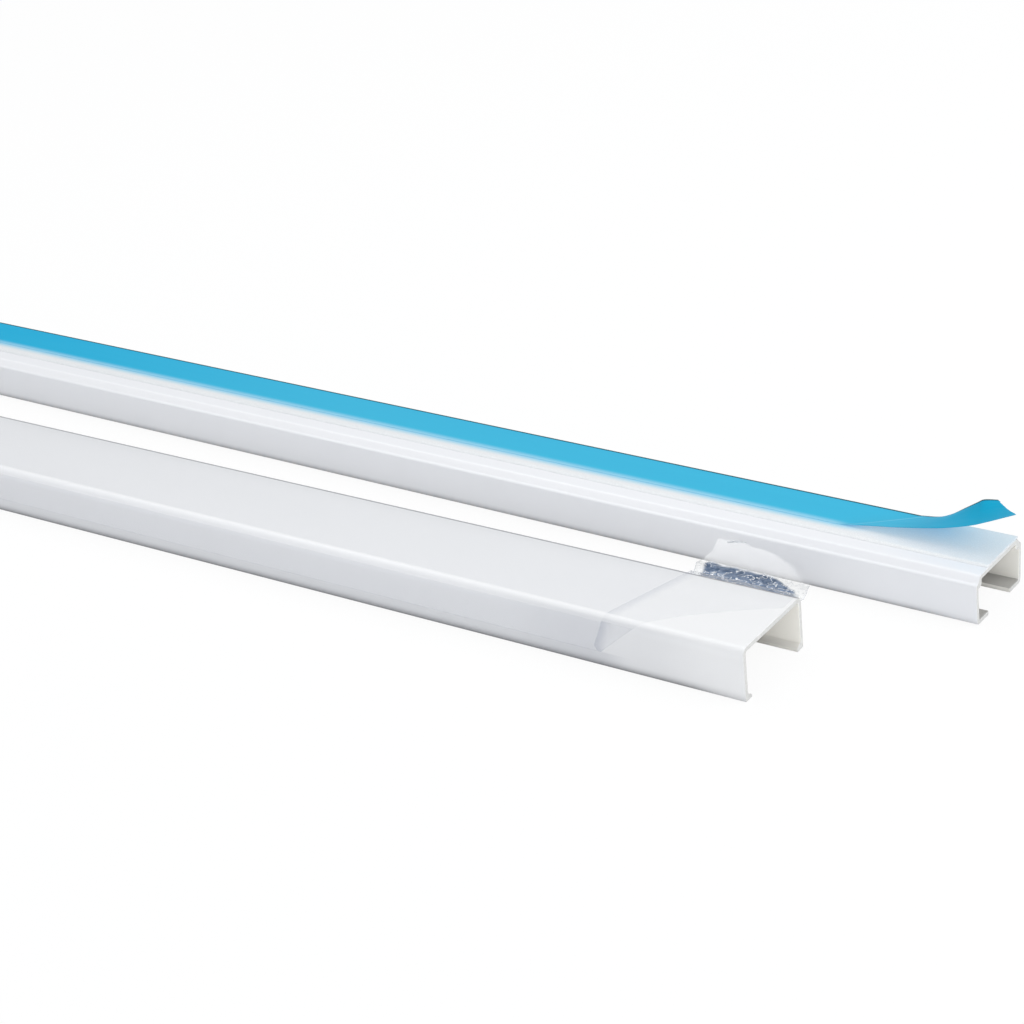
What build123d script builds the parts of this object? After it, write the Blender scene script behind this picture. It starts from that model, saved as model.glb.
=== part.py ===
# Cord cover raceway: a self-adhesive base channel and its press-on cover, lying side by side
# on their open sides. Millimetres, +X along the cover towards its right cut end, +Y from the
# cover to the base, +Z up. The origin is the middle of the pair's footprint, on the floor.
import os
from math import cos, radians, sin, tan

from build123d import *

# Stock
stock_length = 500.0

# Cover: a plain U channel, open side down, with a bead inside and a round edge outside each rim
cover_width = 31.5
cover_height = 16.0
cover_wall = 1.5
cover_corner_radius = 2.2
bead_reach = 1.9
bead_height = 2.1
bead_nose = 0.9
bead_chamfer = 0.45
rim_edge_radius = 0.6

# Base channel: narrow neck under the tape, wide body below the ledge with walls that lean in a
# little, inward lips at the mouth
cover_play = 0.1
base_width = cover_width - 2 * cover_wall - 2 * cover_play
base_wall = 1.4
web_height = 14.6
ledge_height = 12.3
ledge_rise = 0.3
neck_inset = bead_reach + cover_play
lip_reach = 7.4
mouth_corner_radius = 1.5
ledge_corner_radius = 0.8
neck_corner_radius = 1.4
base_lean = 0.4

# Foam mounting tape on the web's outer face, set towards the back edge
tape_width = 19.0
tape_back_margin = 0.2
tape_thickness = 0.6

# Blue release liner along the tape's back edge, peeled up at the right end
liner_width = 14.0
liner_thickness = 0.15
peel_start = 36.0
peel_radius = 30.0
peel_angle = 22.0
peel_straight = 33.4

# Clear protective film on the cover, folded back at the right end
film_thickness = 0.12
film_side_drop = 11.6
film_fold = 45.0
film_free_front = 31.0
film_end_margin = 1.0

# The film's loose tail, which hangs over the gap and stands up against the base channel
tail_clearance = 0.35
tail_height = 9.8
tail_sag = 7.0
tail_lip = 0.5
tail_bend_radius = 2.0
tail_shift = 16.0
tail_left = 36.0

# How the two lengths lie beside each other
base_ahead = 37.3
base_behind = 60.1
base_skew = 1.05

skew = radians(base_skew)
liner_tip = peel_radius * sin(radians(peel_angle)) + peel_straight * cos(radians(peel_angle)) - peel_start
pair_depth = base_behind + base_width * cos(skew) + stock_length * sin(skew)
cover_end_x = (stock_length - base_ahead - liner_tip) / 2
cover_middle_y = (cover_width - pair_depth) / 2
base_end_x = cover_end_x + base_ahead + base_width / 2 * sin(skew)
base_middle_y = base_behind - pair_depth / 2 + base_width / 2 * cos(skew)

# Section planes at the right cut ends, centred on each section: sketch x runs across the
# stock towards the back, sketch y runs up
cover_end = Plane((cover_end_x, cover_middle_y, 0), x_dir=(0, 1, 0), z_dir=(1, 0, 0))
base_end = Plane(
    (base_end_x, base_middle_y, 0),
    x_dir=(sin(skew), cos(skew), 0),
    z_dir=(cos(skew), -sin(skew), 0),
)

# Cover: one half of the section is drawn and mirrored
half_cover = cover_width / 2
with BuildPart() as cover:
    with BuildSketch(cover_end):
        with BuildLine():
            FilletPolyline(
                (-half_cover, 0),
                (-half_cover, cover_height),
                (0, cover_height),
                radius=cover_corner_radius,
            )
            offset(amount=cover_wall, side=Side.RIGHT)
        make_face()
        with BuildLine():
            bead_root = cover_wall / 2 - half_cover
            bead_tip = cover_wall + bead_reach - half_cover
            Polyline(
                (bead_root, 0),
                (bead_tip - bead_chamfer, 0),
                (bead_tip, bead_chamfer),
                (bead_tip, bead_nose),
                (cover_wall - half_cover, bead_height),
                (bead_root, bead_height),
                close=True,
            )
        make_face()
        mirror(about=Plane.YZ)
    extrude(amount=-stock_length)
    rim_edges = cover.edges().filter_by(Axis.X).group_by(Axis.Z)[0].sort_by(Axis.Y)
    fillet((rim_edges[0], rim_edges[-1]), radius=rim_edge_radius)
cover.part.label = "cover"

# Base channel: wall, ledge, neck and lip follow one bent strip, mirrored
half_base = base_width / 2
half_neck = half_base - neck_inset
with BuildPart() as base_channel:
    with BuildSketch(base_end):
        with BuildLine():
            FilletPolyline(
                (lip_reach - half_base, 0),
                (base_lean - half_base, 0),
                (-half_base, ledge_height),
                (-half_neck, ledge_height + ledge_rise),
                (-half_neck, web_height),
                (0, web_height),
                radius=[mouth_corner_radius, ledge_corner_radius, 0, neck_corner_radius],
            )
            offset(amount=base_wall, side=Side.RIGHT)
        make_face()
        mirror(about=Plane.YZ)
    extrude(amount=-stock_length)
base_channel.part.label = "base_channel"

# Foam mounting tape
tape_back = half_neck - tape_back_margin
with BuildPart() as mounting_tape:
    with BuildSketch(base_end):
        with Locations((tape_back, web_height)):
            Rectangle(tape_width, tape_thickness, align=(Align.MAX, Align.MIN))
    extrude(amount=-stock_length)
mounting_tape.part.label = "mounting_tape"

# Release liner, drawn from the side: sketch x runs along the base to the right
liner_underside = web_height + tape_thickness
liner_side = Plane(
    base_end.origin + base_end.x_dir * tape_back,
    x_dir=base_end.z_dir,
    z_dir=-base_end.x_dir,
)
with BuildPart() as release_liner:
    with BuildSketch(liner_side):
        with BuildLine():
            flat = Line((-stock_length, liner_underside), (-peel_start, liner_underside))
            bend = JernArc(flat @ 1, flat % 1, peel_radius, peel_angle)
            Line(bend @ 1, bend @ 1 + (bend % 1) * peel_straight)
            offset(amount=liner_thickness, side=Side.LEFT)
        make_face()
    extrude(amount=liner_width)
release_liner.part.label = "release_liner"

# The film's tail: a strip from the cover's top over the gap, cut to a slanted outline
base_front = base_behind - half_cover + (base_ahead + tail_shift) * tan(skew)
tail_foot = base_front - tail_clearance
with BuildPart() as film_tail:
    with BuildSketch(cover_end):
        with BuildLine():
            FilletPolyline(
                (0, cover_height),
                (half_cover + tail_lip, cover_height),
                (half_cover + tail_sag, cover_height - tail_sag),
                (tail_foot - tail_bend_radius, tail_clearance),
                (tail_foot, tail_height),
                radius=tail_bend_radius,
            )
            offset(amount=film_thickness, side=Side.LEFT)
        make_face()
    extrude(amount=-stock_length / 2)
    with BuildSketch(Plane(cover_end.origin)):
        with BuildLine():
            Polyline(
                (-film_end_margin, 0),
                (-film_end_margin, half_cover),
                (-tail_shift, tail_foot),
                (-tail_left - tail_shift, tail_foot),
                (-tail_left, half_cover),
                (-tail_left, 0),
                close=True,
            )
        make_face()
    extrude(amount=cover_height + film_thickness, mode=Mode.INTERSECT)

# Protective film: on the cover's top and sides up to the fold, then loose across the top
film_rim = cover_height - film_side_drop
film_flat = half_cover - cover_corner_radius
with BuildPart() as protective_film:
    with BuildSketch(cover_end.offset(-film_fold)):
        with BuildLine():
            FilletPolyline(
                (-half_cover, film_rim),
                (-half_cover, cover_height),
                (0, cover_height),
                radius=cover_corner_radius,
            )
            offset(amount=film_thickness, side=Side.LEFT)
        make_face()
        mirror(about=Plane.YZ)
    extrude(amount=-(stock_length - film_fold))
    with BuildSketch(Plane(cover_end.origin).offset(cover_height)):
        with BuildLine():
            Polyline(
                (-film_fold, -film_flat),
                (-film_free_front, -film_flat),
                (-film_end_margin, film_flat),
                (-film_fold, film_flat),
                close=True,
            )
        make_face()
    extrude(amount=film_thickness)
    add(film_tail.part)
protective_film.part.label = "protective_film"

os.makedirs("parts", exist_ok=True)
export_step(cover.part, "parts/cover.step")
export_step(base_channel.part, "parts/base_channel.step")
export_step(mounting_tape.part, "parts/mounting_tape.step")
export_step(release_liner.part, "parts/release_liner.step")
export_step(protective_film.part, "parts/protective_film.step")
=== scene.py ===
from math import cos, pi, radians, sin, tan

import bpy
import numpy as np
from mathutils import Matrix, Vector, noise


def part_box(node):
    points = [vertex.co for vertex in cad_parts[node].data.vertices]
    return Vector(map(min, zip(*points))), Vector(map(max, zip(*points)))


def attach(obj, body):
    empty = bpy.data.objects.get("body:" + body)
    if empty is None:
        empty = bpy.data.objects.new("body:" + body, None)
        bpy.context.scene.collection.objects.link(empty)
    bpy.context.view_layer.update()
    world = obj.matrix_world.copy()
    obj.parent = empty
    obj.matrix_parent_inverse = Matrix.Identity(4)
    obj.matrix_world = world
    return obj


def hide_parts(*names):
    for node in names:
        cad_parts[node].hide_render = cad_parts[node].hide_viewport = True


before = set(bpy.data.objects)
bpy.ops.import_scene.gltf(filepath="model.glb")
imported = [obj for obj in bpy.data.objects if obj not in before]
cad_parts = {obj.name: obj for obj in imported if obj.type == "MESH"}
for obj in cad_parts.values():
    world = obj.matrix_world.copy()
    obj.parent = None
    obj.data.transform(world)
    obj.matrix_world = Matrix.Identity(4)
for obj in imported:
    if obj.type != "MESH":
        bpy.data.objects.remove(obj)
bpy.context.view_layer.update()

# Shapes are drawn in millimetres, in the frame of the length they belong to: along it from its
# right cut end, across it from its front face, and up from the floor
mm = 0.001

# Section sizes
cover_wall = 1.5
cover_corner_radius = 2.2
rim_edge_radius = 0.6
bead_reach = 1.9
bead_height = 2.1
bead_nose = 0.9
base_wall = 1.4
web_height = 14.6
ledge_height = 12.3
ledge_rise = 0.3
neck_inset = 2.0
lip_reach = 7.4
mouth_corner_radius = 1.5
ledge_corner_radius = 0.8
neck_corner_radius = 1.4
base_lean = 0.4
cut_edge = 0.12
tape_width = 19.0
tape_back_margin = 0.2
liner_width = 14.0
base_skew = radians(1.05)

# Where the two lengths lie, and how long and wide they are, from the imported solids
cover_low, cover_high = (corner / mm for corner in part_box("cover"))
base_low, base_high = (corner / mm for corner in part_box("base_channel"))
tape_low, tape_high = (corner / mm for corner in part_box("mounting_tape"))
cover_length = cover_high.x - cover_low.x
cover_width = cover_high.y - cover_low.y
cover_height = cover_high.z
base_span = base_high - base_low
squareness = cos(2 * base_skew)
base_length = (base_span.x * cos(base_skew) - base_span.y * sin(base_skew)) / squareness
base_width = (base_span.y * cos(base_skew) - base_span.x * sin(base_skew)) / squareness
tape_top = tape_high.z
tape_back = base_width - neck_inset - tape_back_margin
tape_front = tape_back - tape_width
liner_front = tape_back - liner_width

in_metres = Matrix.Scale(mm, 4)
cover_place = in_metres @ Matrix.Translation((cover_high.x, cover_low.y, 0))
base_corner = (base_high.x - base_width * sin(base_skew), base_low.y, 0)
base_place = in_metres @ Matrix.Translation(base_corner) @ Matrix.Rotation(-base_skew, 4, "Z")


# Outlines and meshes


def corner_arc(before, corner, after, radius):
    """The points that round one corner of an outline."""
    arriving = (corner - before).normalized()
    leaving = (after - corner).normalized()
    turn = arriving.angle(leaving)
    start = corner - arriving * radius * tan(turn / 2)
    side = 1 if arriving.cross(leaving) > 0 else -1
    centre = start + Vector((-arriving.y, arriving.x)) * side * radius
    steps = max(3, round(turn / radians(11)))
    spoke = start - centre
    return [centre + Matrix.Rotation(side * turn * k / steps, 2) @ spoke for k in range(steps + 1)]


def rounded_outline(corners):
    """A closed outline from its corners, each (across, up, radius)."""
    places = [Vector(corner[:2]) for corner in corners]
    outline = []
    for k, place in enumerate(places):
        following = places[(k + 1) % len(places)]
        outline += corner_arc(places[k - 1], place, following, corners[k][2])
    return outline


def drawn_in(outline, inset):
    """The outline moved inwards; it runs clockwise, so inwards is to the right."""
    moved = []
    for k, point in enumerate(outline):
        arriving = (point - outline[k - 1]).normalized()
        leaving = (outline[(k + 1) % len(outline)] - point).normalized()
        middle = (arriving + leaving).normalized()
        reach = inset / max(0.5, middle.dot(leaving))
        moved.append(point + Vector((middle.y, -middle.x)) * reach)
    return moved


def extruded(outline, stations, shift=None):
    """Vertices and faces of a length: the outline at each (along, inset), closed at both ends."""
    count = len(outline)
    vertices = []
    for along, inset in stations:
        ring = drawn_in(outline, inset) if inset else outline
        for point in ring:
            place = Vector((along, point.x, point.y))
            vertices.append(place + shift(place) if shift else place)
    faces = [tuple(range(count)), tuple(reversed(range(len(vertices) - count, len(vertices))))]
    for ring in range(len(stations) - 1):
        for k in range(count):
            a = ring * count + k
            b = ring * count + (k + 1) % count
            faces.append((a, a + count, b + count, b))
    return vertices, faces


def length_stations(length, step, edge):
    """Stations from the left cut end to the right one, with eased edges at both."""
    inner = np.linspace(edge - length, -edge, max(2, round(length / step)))
    return [(-length, edge)] + [(float(along), 0) for along in inner] + [(0, edge)]


def sheet_grid(points, thickness):
    """Vertices and faces of a thin sheet whose lower side is the grid points[row][column]."""
    grid = np.array(points)
    rows, columns = grid.shape[:2]
    normals = np.cross(np.gradient(grid, axis=0), np.gradient(grid, axis=1))
    normals /= np.maximum(np.linalg.norm(normals, axis=2, keepdims=True), 1e-9)
    upper = grid + normals * thickness
    vertices = [Vector(p) for p in np.concatenate([grid.reshape(-1, 3), upper.reshape(-1, 3)])]
    side = rows * columns
    faces = []
    for row in range(rows - 1):
        for column in range(columns - 1):
            a = row * columns + column
            b = a + columns
            faces.append((a, a + 1, b + 1, b))
            faces.append((a + side, b + side, b + 1 + side, a + 1 + side))
    rim = [(0, c) for c in range(columns)] + [(r, columns - 1) for r in range(1, rows)]
    rim += [(rows - 1, c) for c in range(columns - 2, -1, -1)] + [(r, 0) for r in range(rows - 2, 0, -1)]
    for here, ahead in zip(rim, rim[1:] + rim[:1]):
        a = here[0] * columns + here[1]
        b = ahead[0] * columns + ahead[1]
        faces.append((a, a + side, b + side, b))
    return vertices, faces


def make_piece(name, shape, place, material, node, sharp=30):
    """A mesh object that stands for a CAD node and rides where it rides."""
    vertices, faces = shape
    mesh = bpy.data.meshes.new(name)
    mesh.from_pydata([place @ v for v in vertices], [], faces)
    mesh.validate()
    mesh.materials.append(material)
    for polygon in mesh.polygons:
        polygon.use_smooth = True
    mesh.set_sharp_from_angle(angle=radians(sharp))
    piece = bpy.data.objects.new(name, mesh)
    bpy.context.scene.collection.objects.link(piece)
    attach(piece, "root")
    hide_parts(node)
    return piece


def smooth_curve(points, count):
    """count places on a smooth curve through the points, evenly spread over their order."""
    p = np.array([points[0]] + list(points) + [points[-1]], float)
    curve = []
    for at in np.linspace(0, len(points) - 1, count):
        k = min(int(at), len(points) - 2)
        t = at - k
        a, b, c, d = p[k : k + 4]
        curve.append(
            0.5 * (2 * b + (c - a) * t + (2 * a - 5 * b + 4 * c - d) * t**2 + (3 * b - a - 3 * c + d) * t**3)
        )
    return np.array(curve)


def eased(x, low, high):
    """0 below low, 1 above high and smooth between them."""
    t = np.clip((x - low) / (high - low), 0, 1)
    return t * t * (3 - 2 * t)


# Materials


class Shader:
    """A material's node tree, with short ways to add nodes."""

    def __init__(self, name):
        self.material = bpy.data.materials.new(name)
        self.material.use_nodes = True
        self.tree = self.material.node_tree
        self.surface = self.tree.nodes["Principled BSDF"]

    def node(self, kind, **settings):
        made = self.tree.nodes.new(kind)
        for key, value in settings.items():
            if hasattr(made, key):
                setattr(made, key, value)
            else:
                made.inputs[key.replace("_", " ")].default_value = value
        return made

    def link(self, source, target):
        self.tree.links.new(source, target)

    def set(self, **values):
        for key, value in values.items():
            self.surface.inputs[key.replace("_", " ")].default_value = value

    def place(self, scale, turn=0.0):
        """Object coordinates turned with the length and scaled, so that grain can run along it."""
        coords = self.node("ShaderNodeTexCoord")
        turned = self.node("ShaderNodeMapping")
        turned.inputs["Rotation"].default_value = (0, 0, turn)
        scaled = self.node("ShaderNodeMapping")
        scaled.inputs["Scale"].default_value = scale
        self.link(coords.outputs["Object"], turned.inputs["Vector"])
        self.link(turned.outputs["Vector"], scaled.inputs["Vector"])
        return scaled.outputs["Vector"]

    def noise(self, vector, scale, detail=2.0, roughness=0.5):
        made = self.node("ShaderNodeTexNoise", Scale=scale, Detail=detail, Roughness=roughness)
        self.link(vector, made.inputs["Vector"])
        return made.outputs["Fac"]

    def ramp(self, value, low, high):
        """A value of 0 to 1 spread over low to high."""
        made = self.node("ShaderNodeMapRange")
        made.inputs["To Min"].default_value = low
        made.inputs["To Max"].default_value = high
        self.link(value, made.inputs["Value"])
        return made.outputs["Result"]

    def fade(self, value, none, full, shape="SMOOTHSTEP"):
        """0 where the value is at none, 1 where it is at full and a steady or smooth rise between."""
        made = self.node("ShaderNodeMapRange", interpolation_type=shape)
        made.inputs["From Min"].default_value = none
        made.inputs["From Max"].default_value = full
        self.link(value, made.inputs["Value"])
        return made.outputs["Result"]

    def both(self, first, second, operation="MULTIPLY"):
        """Two sockets, or a socket and a number, combined."""
        made = self.node("ShaderNodeMath", operation=operation)
        self.link(first, made.inputs[0])
        if isinstance(second, float):
            made.inputs[1].default_value = second
        else:
            self.link(second, made.inputs[1])
        return made.outputs[0]

    def distance(self, place, axis):
        """Millimetres along one axis of a placed length, from its right front bottom corner."""
        direction = place.to_3x3().col[axis].normalized()
        coords = self.node("ShaderNodeTexCoord")
        moved = self.node("ShaderNodeVectorMath", operation="SUBTRACT")
        moved.inputs[1].default_value = place.translation
        self.link(coords.outputs["Object"], moved.inputs[0])
        ruler = self.node("ShaderNodeVectorMath", operation="DOT_PRODUCT")
        ruler.inputs[1].default_value = direction / mm
        self.link(moved.outputs["Vector"], ruler.inputs[0])
        return ruler.outputs["Value"]

    def facing(self, direction):
        """How squarely the surface faces a direction: 1 for straight at it."""
        shape = self.node("ShaderNodeNewGeometry")
        measure = self.node("ShaderNodeVectorMath", operation="DOT_PRODUCT")
        measure.inputs[1].default_value = direction
        self.link(shape.outputs["Normal"], measure.inputs[0])
        return measure.outputs["Value"]

    def mix(self, factor, first, second):
        """Colours, or sockets, mixed by a factor socket."""
        made = self.node("ShaderNodeMix", data_type="RGBA")
        self.link(factor, made.inputs["Factor"])
        for socket, value in ((made.inputs[6], first), (made.inputs[7], second)):
            if isinstance(value, tuple):
                socket.default_value = (*value, 1)
            else:
                self.link(value, socket)
        return made.outputs[2]

    def bump(self, height, distance, strength=1.0, below=None):
        made = self.node("ShaderNodeBump", Strength=strength, Distance=distance)
        self.link(height, made.inputs["Height"])
        if below is not None:
            self.link(below, made.inputs["Normal"])
        return made.outputs["Normal"]


along_axis, across_axis, upward_axis = 0, 1, 2
to_right = (1, 0, 0)
to_front = (0, -1, 0)
to_back = (0, 1, 0)
upwards = (0, 0, 1)
front_and_up = (0.0, -0.7071, 0.7071)

# Vinyl shades
# Painted light: the inside of each channel is lighter and warm
painted_inside_light = (0.92, 0.90, 0.83)
# Painted highlight on the rounding above the front wall
lit_shoulder = (0.93, 0.932, 0.94)
# Painted shade on the rounding above the back wall
back_edge = (0.20, 0.20, 0.21)
# Painted shade for the cover's front wall at its foot and beside the film's fold
painted_front_shade = (0.24, 0.26, 0.32)
# Painted contact shadow at the foot of the walls
foot_dark = (0.08, 0.08, 0.09)
sawn_dark = (0.56, 0.56, 0.54)
sawn_light = (0.84, 0.84, 0.82)

# Tape and liner shades
foam_cell = (0.71, 0.725, 0.735)
foam_white = (0.81, 0.825, 0.83)
# Painted blue light from the liner on the foam
painted_blue_light = (0.18, 0.56, 0.76)
# Painted shade: a dark line along the tape's back edge
foam_back_edge = (0.05, 0.12, 0.15)
# Painted shade: the liner darkens towards its left end
blue_far = (0.0, 0.365, 0.62)
blue_near = (0.042, 0.42, 0.64)
blue_grain = (0.055, 0.47, 0.68)
# Painted shade on the lifted strip
blue_lifted = (0.0, 0.35, 0.57)
blue_pale = (0.50, 0.74, 0.86)
# Painted highlight along the crease where the liner lifts off
crease_highlight = (0.26, 0.62, 0.80)
# Painted shade: a dark line along the liner's back edge
blue_back_edge = (0.02, 0.09, 0.12)

# Film shades
# Painted shade where the film's loose end hangs over the gap
slate_dark = (0.06, 0.11, 0.20)
slate_light = (0.21, 0.28, 0.40)
# The stuck film's slate tone, partly its own haze and partly painted shade
slate_stuck = (0.28, 0.31, 0.40)
# Painted light and shade of the crumples on the loose end
crumple_dark = (0.50, 0.54, 0.55)
crumple_light = (0.93, 0.94, 0.93)
# Painted glow where the film stands against the base channel
tail_white = (0.93, 0.93, 0.92)
# Painted glints on the loose end
glint_white = (0.95, 0.96, 0.97)


def white_vinyl(name, place, turn, depth, tints, lip_shade, front_wall_shade):
    """Extruded rigid vinyl: faint die lines along the length, a soft gloss and slight clouding.

    The sawn ends are rougher and greyer. Painted light makes the inside of the channel lighter
    and warm, with a faint glow, for the light that comes through the thin web. A painted highlight
    lies on the rounding above the front wall and painted shade on the one above the back wall, and
    lip_shade is the painted shade on the tops of the lips inside. Painted contact shadow darkens the
    foot of the walls towards the floor, and the last argument says how much painted shade darkens
    the front wall at its foot and beside the film's fold."""
    s = Shader(name)
    height = s.distance(place, upward_axis)
    run = s.distance(place, along_axis)
    width = s.distance(place, across_axis)
    ahead = s.facing(to_front)
    behind = s.facing(to_back)

    cloud = s.noise(s.place((6, 60, 60), turn), 1.0, 3.0)
    colour = s.mix(cloud, *tints)
    # Painted light: inner faces are tinted lighter and warm for the light that comes through the thin web
    inward = s.both(s.fade(ahead, 0.4, 0.8), s.fade(width, 0.5 * depth, 0.6 * depth))
    colour = s.mix(inward, colour, painted_inside_light)
    # Painted shade on the tops of the lips inside the channel, under the web
    lip_top = s.both(s.fade(s.facing(upwards), 0.4, 0.8), s.fade(height, 4.0, 3.0))
    colour = s.mix(lip_top, colour, lip_shade)
    # Painted highlight on the rounding above the front wall, stronger towards the left end
    shoulder = s.both(s.fade(ahead, 0.12, 0.5), s.fade(height, 12.0, 13.2))
    lit = s.both(shoulder, s.ramp(s.fade(run, -130.0, -30.0), 0.6, 0.1))
    colour = s.mix(lit, colour, lit_shoulder)
    # Painted shade on the rounding above the back wall
    rounding = s.both(s.fade(behind, 0.02, 0.2), s.fade(behind, 0.75, 0.55))
    back_round = s.both(rounding, s.fade(height, 11.0, 13.0))
    colour = s.mix(s.both(back_round, 0.9), colour, back_edge)

    # Painted shade: the cover below the film's rim, left of the fold, darkens like the filmed wall above it
    below_film_rim = s.both(s.fade(height, 4.7, 4.2), s.fade(run, -34.0, -46.0))
    colour = s.mix(s.both(below_film_rim, front_wall_shade), colour, painted_front_shade)
    # Painted shade on the front side around the film's fold
    beside_fold = s.both(s.fade(run, -80.0, -50.0), s.fade(run, -8.0, -30.0))
    front_beside_fold = s.both(s.fade(ahead, 0.7, 0.95), beside_fold)
    colour = s.mix(s.both(s.both(front_beside_fold, front_wall_shade), 0.5), colour, painted_front_shade)
    # Painted contact shadow: the walls darken towards the floor, less near the right cut end
    inside_ends = s.ramp(s.fade(run, -20.0, -3.0), 0.97, 0.4)
    foot_shadow = s.both(s.fade(height, 3.0, 0.1, "LINEAR"), 2.0, "POWER")
    foot_shadow = s.both(foot_shadow, s.both(s.fade(height, 1.1, 0.4), 0.85), "MAXIMUM")
    colour = s.mix(s.both(foot_shadow, inside_ends), colour, foot_dark)

    sawn = s.fade(s.facing(to_right), 0.75, 0.95)
    saw = s.noise(s.place((1, 1500, 1500)), 1.0, 3.0, 0.7)
    colour = s.mix(sawn, colour, s.mix(saw, sawn_dark, sawn_light))
    s.link(colour, s.surface.inputs["Base Color"])
    streaks = s.noise(s.place((3, 700, 700), turn), 1.0, 3.0, 0.6)
    gloss = s.both(s.ramp(streaks, 0.26, 0.38), s.both(sawn, 0.3), "ADD")
    s.link(gloss, s.surface.inputs["Roughness"])
    lines = s.bump(streaks, 0.00002, 0.35)
    ripple = s.bump(s.noise(s.place((9, 45, 45), turn), 1.0, 1.0), 0.0002, 0.3, lines)
    s.link(ripple, s.surface.inputs["Normal"])
    # Painted light: the inner faces glow faintly for the light that comes through the thin web
    s.link(s.both(inward, 0.08), s.surface.inputs["Emission Strength"])
    s.set(IOR=1.5, Emission_Color=(1.0, 0.96, 0.88, 1.0))
    return s.material


def foam(name, place, turn):
    """White foam under a clear adhesive, with painted blue light from the liner beside and above it
    and painted shade in a dark line along its back edge.
    """
    s = Shader(name)
    cells = s.node("ShaderNodeTexVoronoi", Scale=1.0)
    s.link(s.place((2600, 2600, 2600), turn), cells.inputs["Vector"])
    white = s.mix(cells.outputs["Distance"], foam_cell, foam_white)
    width = s.distance(place, across_axis)
    run = s.distance(place, along_axis)
    # Painted blue light from the liner: in front of its lying part, and under the peeled strip fading to the
    # right
    opened = s.fade(run, peel_front - 2.0, peel_front + 10.0)
    closed = s.both(s.fade(width, liner_front - 3.2, liner_front + 0.9), s.ramp(opened, 1.0, 0.0))
    overhung = s.ramp(s.fade(run, -24.0, -5.0), 0.75, 0.16)
    under_peel = s.both(s.fade(width, liner_front - 1.0, tape_back + 1.5), overhung)
    tint = s.both(closed, s.both(under_peel, opened), "ADD")
    colour = s.mix(tint, white, painted_blue_light)
    # Painted shade: a dark line along the tape's back edge
    colour = s.mix(s.fade(width, tape_back - 0.2, tape_back - 0.02), colour, foam_back_edge)
    s.link(colour, s.surface.inputs["Base Color"])
    s.link(s.bump(cells.outputs["Distance"], 0.00006, 0.3), s.surface.inputs["Normal"])
    s.set(Roughness=0.3)
    return s.material


def blue_film(name, place, turn):
    """Blue polyethylene liner with a faint grain, paler at its front edge. Painted shade darkens it
    towards its left end, over the lifted strip and in a dark line along its back edge, and a painted
    highlight runs along the crease where it lifts off."""
    s = Shader(name)
    run = s.distance(place, along_axis)
    width = s.distance(place, across_axis)
    grain = s.noise(s.place((14, 240, 240), turn), 1.0, 4.0, 0.6)
    # Painted shade: the liner darkens towards its left end
    blue = s.mix(s.fade(run, -420.0, -210.0), blue_far, blue_near)
    blue = s.mix(s.both(grain, 0.4), blue, blue_grain)
    # Painted shade on the lifted strip
    blue = s.mix(s.fade(run, -36.0, -20.0), blue, blue_lifted)
    flat = s.fade(run, peel_front + 6.0, peel_front - 4.0)
    pale = s.both(s.both(s.fade(width, liner_front + 2.6, liner_front - 0.6), flat), 0.62)
    blue = s.mix(pale, blue, blue_pale)
    # Painted highlight along the crease where the liner lifts off
    to_crease = s.both(s.both(run, -0.623), s.both(width, 0.782), "ADD")
    off_crease = s.both(s.both(to_crease, 36.9, "SUBTRACT"), 1.0, "ABSOLUTE")
    blue = s.mix(s.both(s.fade(off_crease, 0.5, 0.05), 0.5), blue, crease_highlight)
    # Painted shade: a dark line along the liner's back edge
    blue = s.mix(s.fade(width, tape_back - 0.9, tape_back - 0.35), blue, blue_back_edge)
    s.link(blue, s.surface.inputs["Base Color"])
    s.link(s.ramp(grain, 0.36, 0.5), s.surface.inputs["Roughness"])
    s.link(s.bump(grain, 0.00006, 0.4), s.surface.inputs["Normal"])
    s.set(Specular_IOR_Level=0.07)
    return s.material


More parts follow.
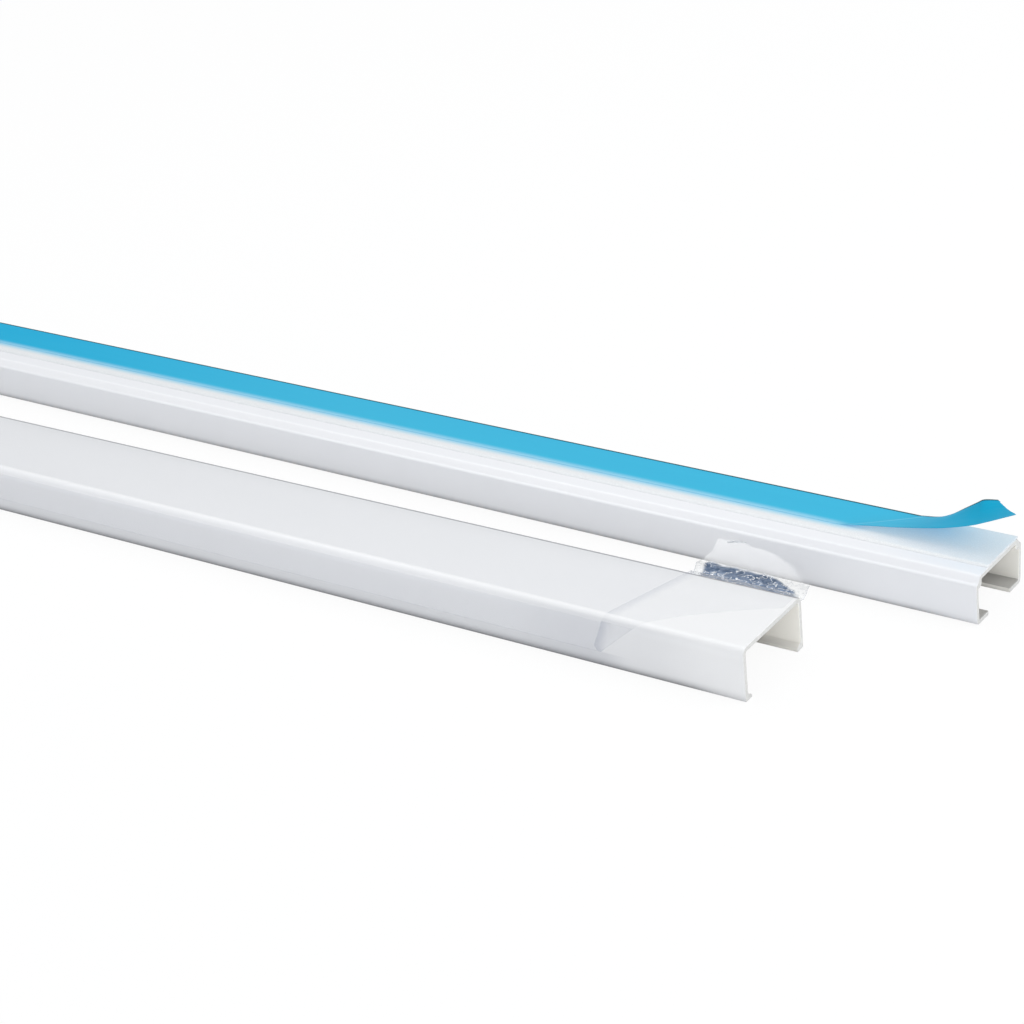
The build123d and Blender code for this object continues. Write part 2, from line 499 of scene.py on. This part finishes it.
def clear_film(name):
    """Thin clear film. It is drawn by its haze, which its creases raise, in a slate tone that is
    partly painted shade: thicker on faces that look to the front, and thinner for a painted highlight
    on the rounding above the cover's front side while it lies stuck. Painted slate shade lies where
    the loose end hangs over the gap, painted light, shade and glints lie on its crumples, and a
    painted glow lies where it stands upright."""
    s = Shader(name)
    haze, slate, loose, glow = (
        s.node("ShaderNodeAttribute", attribute_name=look).outputs["Fac"] for look in film_look_names
    )
    crease = s.noise(s.place((1, 1, 1)), 620.0, 6.0, 0.78)
    mottle = s.fade(crease, 0.40, 0.60)
    # Painted glints along thin threads on the loose end, away from where it stands upright
    thread = s.noise(s.place((1, 1, 1.6)), 230.0, 3.0, 0.6)
    off_thread = s.both(s.both(thread, 0.53, "SUBTRACT"), 1.0, "ABSOLUTE")
    glint = s.both(s.fade(off_thread, 0.017, 0.005), s.both(loose, glow, "SUBTRACT"))
    # Painted shade: the stuck film's slate tone, and slate where the loose end hangs over the gap
    dark = s.mix(loose, slate_stuck, s.mix(mottle, slate_dark, slate_light))
    # Painted light and shade of the crumples on the rest of the loose end
    light = s.mix(glow, s.mix(mottle, crumple_dark, crumple_light), tail_white)
    colour = s.mix(slate, light, dark)
    s.link(s.mix(glint, colour, glint_white), s.surface.inputs["Base Color"])

    # Painted highlight: the stuck film's haze thins on the rounding above the front side
    on_round = s.fade(s.facing(front_and_up), 0.76, 0.88)
    front_round = s.both(on_round, s.ramp(loose, 0.75, 0.0))
    # Painted shade: the haze is thicker on faces that look to the front
    beside = s.ramp(s.fade(s.facing(to_front), 0.7, 0.95), 1.0, 1.7)
    clear = s.both(s.both(haze, beside), s.ramp(front_round, 1.0, 0.0))
    drawn = s.both(clear, s.both(glint, 0.45), "ADD")
    s.link(s.both(drawn, 1.0, "MINIMUM"), s.surface.inputs["Alpha"])
    s.link(s.bump(crease, 0.0002, 0.4), s.surface.inputs["Normal"])
    # Painted glow where the film stands upright against the base channel, for the light it scatters
    s.link(s.both(glow, 0.6), s.surface.inputs["Emission Strength"])
    s.set(Roughness=0.2, Specular_IOR_Level=0.3, Emission_Color=(1.0, 1.0, 0.99, 1.0))
    return s.material


film_look_names = ("haze", "slate", "loose", "glow")
liner_skin = 0.12
liner_lift = 0.02
peel_front = -47.0
peel_back = -29.0
cover_tints = ((0.80, 0.803, 0.805), (0.835, 0.837, 0.837))
base_tints = ((0.785, 0.795, 0.815), (0.825, 0.832, 0.852))
# Painted shade for the tops of the lips inside each channel
cover_lip_shade = (0.88, 0.86, 0.80)
base_lip_shade = (0.48, 0.47, 0.44)
cover_vinyl = white_vinyl("cover_vinyl", cover_place, 0.0, cover_width, cover_tints, cover_lip_shade, 0.25)
base_vinyl = white_vinyl("base_vinyl", base_place, base_skew, base_width, base_tints, base_lip_shade, 0.0)
tape_foam = foam("tape_foam", base_place, base_skew)
liner_blue = blue_film("liner_blue", base_place, base_skew)
film_clear = clear_film("film_clear")


# Cover
bead_tip = cover_wall + bead_reach
far_tip = cover_width - bead_tip
far_wall = cover_width - cover_wall
under = cover_height - cover_wall
inner_radius = cover_corner_radius - cover_wall
cover_outline = rounded_outline([
    (0, 0, rim_edge_radius),
    (0, cover_height, cover_corner_radius),
    (cover_width, cover_height, cover_corner_radius),
    (cover_width, 0, rim_edge_radius),
    (far_tip, 0, 0.4),
    (far_tip, bead_nose, 0.35),
    (far_wall, bead_height, 0.5),
    (far_wall, under, inner_radius),
    (cover_wall, under, inner_radius),
    (cover_wall, bead_height, 0.5),
    (bead_tip, bead_nose, 0.35),
    (bead_tip, 0, 0.4),
])
cover_shape = extruded(cover_outline, length_stations(cover_length, 12, cut_edge))
make_piece("cover_shell", cover_shape, cover_place, cover_vinyl, "cover")


# Base channel
web_under = web_height - base_wall
ledge_under = ledge_height - base_wall
neck_inner = neck_inset + base_wall


def mirrored(half, width):
    """An outline's corners and their mirror images, in running order."""
    return half + [(width - across, up, radius) for across, up, radius in reversed(half)]


outside_half = [
    (lip_reach, 0, 0.3),
    (base_lean, 0, mouth_corner_radius),
    (0, ledge_height, ledge_corner_radius),
    (0.45 * neck_inset, ledge_height + 1.5 * ledge_rise, 0.9),
    (1.3 * neck_inset, web_height, neck_corner_radius),
]
inside_half = [
    (lip_reach, base_wall, 0.3),
    (base_wall + base_lean, base_wall, 0.4),
    (base_wall, ledge_under, 0.1),
    (neck_inner, ledge_under + ledge_rise, 1.2),
    (neck_inner, web_under, 0.2),
]
base_outside = mirrored(outside_half, base_width)
base_inside = list(reversed(mirrored(inside_half, base_width)))
base_outline = rounded_outline(base_outside + base_inside)
base_shape = extruded(base_outline, length_stations(base_length, 12, cut_edge))
make_piece("base_channel_shell", base_shape, base_place, base_vinyl, "base_channel")


# Foam tape
tape_outline = rounded_outline([
    (tape_front, web_height, 0.05),
    (tape_front + 0.9, tape_top, 1.0),
    (tape_back, tape_top, 0.15),
    (tape_back, web_height, 0.1),
])
tape_shape = extruded(tape_outline, length_stations(base_length, 12, 0.05))
make_piece("foam_strip", tape_shape, base_place, tape_foam, "mounting_tape")


# Release liner: it lies flat to the peel line and then rises as a strip between two edge curves.
# It is thin enough to let light through, so it casts no shadow on the tape.
rest_height = tape_top + liner_lift
liner_front_edge = [
    (peel_front, rest_height),
    (-41, 16.3),
    (-28.6, 18.3),
    (-16.4, 20.8),
    (-8, 23.3),
    (-3, 25.4),
    (6.1, 29.7),
]
liner_back_edge = [
    (peel_back, rest_height),
    (-23.4, 16.1),
    (-19.7, 17.7),
    (-15.7, 20.4),
    (-11.8, 23.1),
    (-9.7, 24.4),
    (-5.7, 25.1),
]
flat_columns = 60
peel_columns = 90
liner_rows = 25


def liner_points():
    """Rows across the liner, each from its left end to the torn right end."""
    front = smooth_curve(liner_front_edge, peel_columns)
    back = smooth_curve(liner_back_edge, peel_columns)
    rows = []
    for v in np.linspace(0, 1, liner_rows):
        across = liner_front + v * liner_width
        bend_start = peel_front + v * (peel_back - peel_front)
        stations = np.linspace(-base_length, bend_start, flat_columns)[:-1]
        row = [(along, across, rest_height) for along in stations]
        belly = 0.5 * sin(pi * v)
        for k, (near, far) in enumerate(zip(front, back)):
            u = k / (peel_columns - 1)
            along, up = near + (far - near) * v
            torn = 0.55 * noise.noise(Vector((0.9 * across, 3.1, 0))) * eased(u, 0.8, 1.0)
            row.append((along + torn, across, up - belly * eased(u, 0.0, 0.5)))
        rows.append(row)
    return rows


liner_shape = sheet_grid(liner_points(), -liner_skin)
liner = make_piece(
    "liner_strip", liner_shape, base_place, liner_blue, "release_liner", sharp=60
)
liner.visible_shadow = False


# Protective film: stuck to the cover up to the fold, then loose over its top, over the gap and
# up against the base channel
film_gap = 0.06
film_skin = 0.04
film_rim = 4.4
crumples_per_mm = 0.22
# Stuck film: a thin haze in a slate tone, partly the film's own haze and partly painted shade
stuck_looks = (0.066, 1.0, 0.0, 0.0)
sheath_columns = 70
flap_columns = 90
flap_rows = 240


def cover_wrap(reach):
    """The line round the cover's outside that the film follows, as (across, up)."""
    front = -film_gap
    back = cover_width + film_gap
    top = cover_height + film_gap
    line = [Vector((front, film_rim))]
    line += corner_arc(Vector((front, film_rim)), Vector((front, top)), Vector((back, top)), reach)
    line += corner_arc(Vector((front, top)), Vector((back, top)), Vector((back, film_rim)), reach)
    return line + [Vector((back, film_rim))]


def measured(line):
    """Distances along a line of 2-D places, and the places as an array."""
    places = np.array([tuple(p) for p in line])
    steps = np.linalg.norm(np.diff(places, axis=0), axis=1)
    return np.concatenate([[0], np.cumsum(steps)]), places


def at_distance(line, distances):
    run, places = measured(line)
    across = np.interp(distances, run, places[:, 0])
    up = np.interp(distances, run, places[:, 1])
    return np.stack([across, up], axis=-1)


def edge_at(edge, distance):
    """Where an edge given as (distance along the path, along) stands."""
    return np.interp(distance, [place[0] for place in edge], [place[1] for place in edge])


wrap = cover_wrap(cover_corner_radius + film_gap)
wrap_run = measured(wrap)[0][-1]
hanging_line = [(30.0, 16.12), (31.6, 15.9), (34.5, 13.6), (39, 9.4), (46, 5.0), (54, 1.6), (60.0, 0.7)]
standing_line = [(60.7, 2.4), (60.8, 6), (60.8, 10.1)]
tail_line = smooth_curve(hanging_line + standing_line, 90)
front_and_top = [p for p in wrap if p.x < cover_width / 2]
flap_path = front_and_top + [Vector(p) for p in tail_line]
flap_length = measured(flap_path)[0][-1]
foot = flap_length - 10.2
back_rim = 41.8
fold_edge = [
    (0, -44.4), (0.3, -45.6), (1.6, -46.5), (6.1, -44.7),
    (11.8, -42.6), (14.3, -42.0), (27.5, -38.1), (40.9, -34.1),
]
left_edge = fold_edge + [(back_rim, -33.8), (foot, -50.4), (foot + 5.9, -45.1), (flap_length, -43.3)]
right_edge = [
    (0, -44.3), (5.9, -37.8), (12.0, -30.7), (20.7, -21.5), (28.7, -10.1), (34.0, -0.8), (back_rim, -0.9),
    (foot, -13.4), (foot + 2.0, -13.6), (foot + 5.5, -16.0), (foot + 8.6, -22.0), (flap_length, -31.0),
]
# Where the painted slate shade ends on the right
shade_end = [
    (back_rim, -1.8), (back_rim + 16, -7.0), (foot - 4.0, -15.0), (foot - 1.0, -20.0), (foot + 1.5, -25.0),
]


def sheath_points():
    """Rows round the cover, each from its left end to the fold."""
    rows = []
    for distance in np.linspace(0, wrap_run, 61):
        place = at_distance(wrap, distance)
        end = edge_at(fold_edge, distance)
        stations = np.linspace(-cover_length, end, sheath_columns)
        rows.append([(along, *place) for along in stations])
    return rows


def flap_points():
    """Rows from the cover's front rim to the tail's end, each from the left edge to the right one,
    with what the film shows at every place: its haze, its slate tone, which holds painted shade
    beside the fold and over the gap, how loose it is and the painted glow where it stands against
    the base channel."""
    rows = []
    looks = []
    for distance in np.linspace(0, flap_length, flap_rows):
        left = edge_at(left_edge, distance)
        right = edge_at(right_edge, distance)
        hanging = eased(distance, back_rim, back_rim + 1.5) * (1 - eased(distance, foot + 0.6, foot + 1.8))
        loose = eased(distance, back_rim, back_rim + 3.0)
        row = []
        for along in np.linspace(left, right, flap_columns):
            across, up = at_distance(flap_path, distance)
            spot = Vector((along * crumples_per_mm, distance * crumples_per_mm, 1.7))
            crumple = noise.ridged_multi_fractal(spot, 0.9, 2.1, 4, 1.0, 2.0)
            lift = loose * (crumple - 1.2)
            skewed = eased(distance, foot - 15, foot) * (-13.4 - along) * tan(base_skew)
            row.append((along, across + skewed - 0.15 * abs(lift), max(0.15, up + 0.4 * lift) + 0.05))
            from_left = along - left
            from_right = right - along
            # Painted shadow: the film is hazier and darker just beside the fold
            fold = 1 - eased(from_left, 0.1, 4.5)
            before_end = eased(edge_at(shade_end, distance) - along, 0, 1.5)
            # Painted shade: slate where the loose end hangs over the gap
            shade = hanging * eased(from_left, 2.2, 3.6) * before_end
            rim = 1 - eased(min(from_left, from_right), 0.1, 0.5)
            upright = loose - hanging * loose
            fading = eased(from_left, 0, 0.8) * eased(from_right, 0, 5.0)
            fading *= eased(flap_length - distance, 0, 1.2)
            off_mark = abs(up - 8.9 - 0.22 * (along + 39.8))
            mark = eased(0.5 - off_mark, 0, 0.4) * eased(-33 - along, 0, 1)
            mark *= upright * eased(along + 40.5, 0, 1)
            on_top = (1 - loose) * (0.06 + 0.085 * fold)
            in_gap = hanging * (0.16 + 0.25 * rim + 0.74 * shade)
            on_base = upright * 0.075 * fading + 0.2 * mark
            # Looks: haze; slate, which holds painted shade; how loose it is; the painted glow where it
            # stands
            looks.append((
                on_top + loose * (in_gap + on_base),
                min(1, (1 - loose) * (0.6 + 0.4 * fold) + shade + 0.4 * hanging * rim + 0.7 * mark),
                loose,
                upright * (1 - mark),
            ))
        rows.append(row)
    return rows, looks


def joined(first, second):
    """Two shapes as one."""
    vertices, faces = first
    count = len(vertices)
    return vertices + second[0], faces + [tuple(k + count for k in face) for face in second[1]]


sheath_shape = sheet_grid(sheath_points(), -film_skin)
flap_grid, flap_looks = flap_points()
flap_shape = sheet_grid(flap_grid, film_skin)
sheath_looks = [stuck_looks] * len(sheath_shape[0])
film_shape = joined(sheath_shape, flap_shape)
film = make_piece(
    "film_sheet", film_shape, cover_place, film_clear, "protective_film", sharp=70
)
film.visible_shadow = False
film.visible_diffuse = False
film_looks = np.array(sheath_looks + flap_looks + flap_looks)
for column, look in enumerate(film_look_names):
    shown = film.data.attributes.new(look, "FLOAT", "POINT")
    shown.data.foreach_set("value", np.ascontiguousarray(film_looks[:, column]))


# Floor, light and camera
white_share = 0.92
floor_half = 30.0


def backdrop_material(name):
    """White to the camera and in reflections, with a plain diffuse share that keeps the shadow."""
    s = Shader(name)
    s.set(Base_Color=(0.9, 0.9, 0.9, 1), Roughness=1.0)
    rays = s.node("ShaderNodeLightPath")
    seen = s.both(rays.outputs["Is Camera Ray"], rays.outputs["Is Glossy Ray"], "MAXIMUM")
    seen = s.both(seen, rays.outputs["Is Transmission Ray"], "MAXIMUM")
    glow = s.node("ShaderNodeEmission")
    blend = s.node("ShaderNodeMixShader")
    s.link(s.both(seen, white_share), blend.inputs["Fac"])
    s.link(s.surface.outputs["BSDF"], blend.inputs[1])
    s.link(glow.outputs["Emission"], blend.inputs[2])
    s.link(blend.outputs["Shader"], s.tree.nodes["Material Output"].inputs["Surface"])
    return s.material


floor_mesh = bpy.data.meshes.new("floor")
floor_corners = [
    (-floor_half, -floor_half, 0),
    (floor_half, -floor_half, 0),
    (floor_half, floor_half, 0),
    (-floor_half, floor_half, 0),
]
floor_mesh.from_pydata(floor_corners, [], [(0, 1, 2, 3)])
floor_mesh.materials.append(backdrop_material("backdrop_white"))
floor = bpy.data.objects.new("floor", floor_mesh)
bpy.context.scene.collection.objects.link(floor)


def soft_lamp(name, place, target, size, power, colour=(1, 1, 1)):
    lamp = bpy.data.lights.new(name, "AREA")
    lamp.shape = "RECTANGLE"
    lamp.size, lamp.size_y = size
    lamp.energy = power
    lamp.color = colour
    holder = bpy.data.objects.new(name, lamp)
    holder.location = place
    holder.rotation_euler = (Vector(target) - Vector(place)).to_track_quat("-Z", "Y").to_euler()
    bpy.context.scene.collection.objects.link(holder)


soft_lamp("key_right", (1.2, 0.5, 1.1), (0.2, 0, 0), (1.2, 1.2), 11.5)
soft_lamp("top_soft", (-0.2, 0.2, 1.6), (0, 0, 0), (2.0, 1.6), 14)
soft_lamp("front_fill", (0.5, -1.6, 0.6), (0.1, 0, 0), (1.4, 0.9), 8, (0.94, 0.96, 1.0))

world = bpy.data.worlds.new("studio")
world.use_nodes = True
bpy.context.scene.world = world
background = world.node_tree.nodes["Background"]
background.inputs["Color"].default_value = (0.95, 0.97, 1, 1)
background.inputs["Strength"].default_value = 0.45

# The camera stands as fitted to the photograph's edges, from the cover's right front corner
camera_from_cover = Vector((268.8, -442.2, 321.3))
camera_heading = radians(127.38)
camera_pitch = radians(26.67)
camera_roll = radians(-6.43)
camera_lens = 81.71
heading = Vector((cos(camera_heading), sin(camera_heading), 0))
level = Vector((sin(camera_heading), -cos(camera_heading), 0))
forward = heading * cos(camera_pitch) - Vector((0, 0, sin(camera_pitch)))
rise = level.cross(forward)
right = level * cos(camera_roll) + rise * sin(camera_roll)
upward = rise * cos(camera_roll) - level * sin(camera_roll)
camera_data = bpy.data.cameras.new("camera")
camera_data.lens = camera_lens
camera_data.sensor_width = 36
camera_data.clip_start = 0.01
camera_data.clip_end = 100
camera = bpy.data.objects.new("camera", camera_data)
bpy.context.scene.collection.objects.link(camera)
turned = Matrix((right, upward, -forward)).transposed().to_4x4()
camera.matrix_world = Matrix.Translation(cover_place @ camera_from_cover) @ turned
bpy.context.scene.camera = camera
bpy.context.scene.view_settings.view_transform = "Standard"
